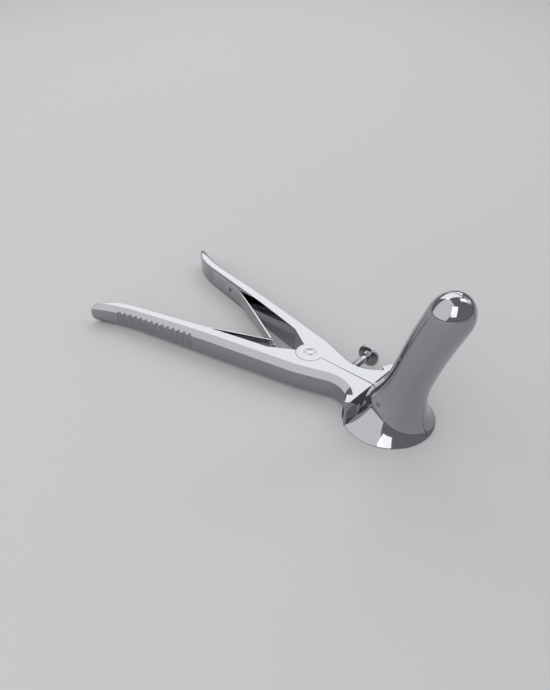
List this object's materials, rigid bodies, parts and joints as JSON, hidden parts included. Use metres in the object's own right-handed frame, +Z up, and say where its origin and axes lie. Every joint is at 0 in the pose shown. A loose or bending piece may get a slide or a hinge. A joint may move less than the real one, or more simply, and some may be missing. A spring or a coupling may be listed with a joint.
{
  "type": "anal speculum",
  "caption": "Steel bivalve speculum: plier handles on a lap joint spread a closed finger of two half-round blades with a flared foot; leaf springs and a thumb screw.",
  "frame": {"origin": "middle of the object's length on the plane it stands on, midway between the two halves", "axes": "+X along the object from the handles to the blades, +Z up along the pivot's axis, +Y towards the half that carries the thumb screw"},
  "size_m": [0.2282, 0.098, 0.0881],
  "materials": {
    "forged_steel": "mirror polished stainless steel",
    "blade_steel": "mirror polished stainless steel",
    "spring_steel": "polished spring steel",
    "screw_steel": "turned and polished steel",
    "knob_steel": "turned steel with a knurled edge"
  },
  "bodies": {
    "front_half": {"front_handle": "forged_steel", "front_blade": "blade_steel", "pivot_screw": "screw_steel", "front_leaf_spring": "spring_steel", "front_leaf_screw": "screw_steel"},
    "rear_half": {"rear_handle": "forged_steel", "rear_blade": "blade_steel", "rear_leaf_spring": "spring_steel", "rear_leaf_screw": "screw_steel"},
    "thumb_screw": {"set_screw": "screw_steel"},
    "thumb_knob": {"set_screw_knob": "knob_steel"}
  },
  "joints": [
    {"name": "handle_pivot", "type": "hinge", "parent": "front_half", "child": "rear_half", "pos_m": [0.02221, 0, 0.008], "axis": [0, 0, 1], "range_deg": [0, 25], "stiffness_Nm_per_rad": 0.8, "springref_deg": -17.19, "deforming": ["front_leaf_spring", "rear_leaf_spring"]},
    {"name": "screw_feed", "type": "slide", "parent": "rear_half", "child": "thumb_screw", "axis": [0, -1, 0], "range_m": [0, 0.009]},
    {"name": "knob_turn", "type": "hinge", "parent": "thumb_screw", "child": "thumb_knob", "pos_m": [0.04321, 0.027, 0.009], "axis": [0, -1, 0], "continuous": true}
  ],
  "couplings": [
    {"joint": "screw_feed", "follows": "handle_pivot", "m_per_rad": 0.019}
  ]
}
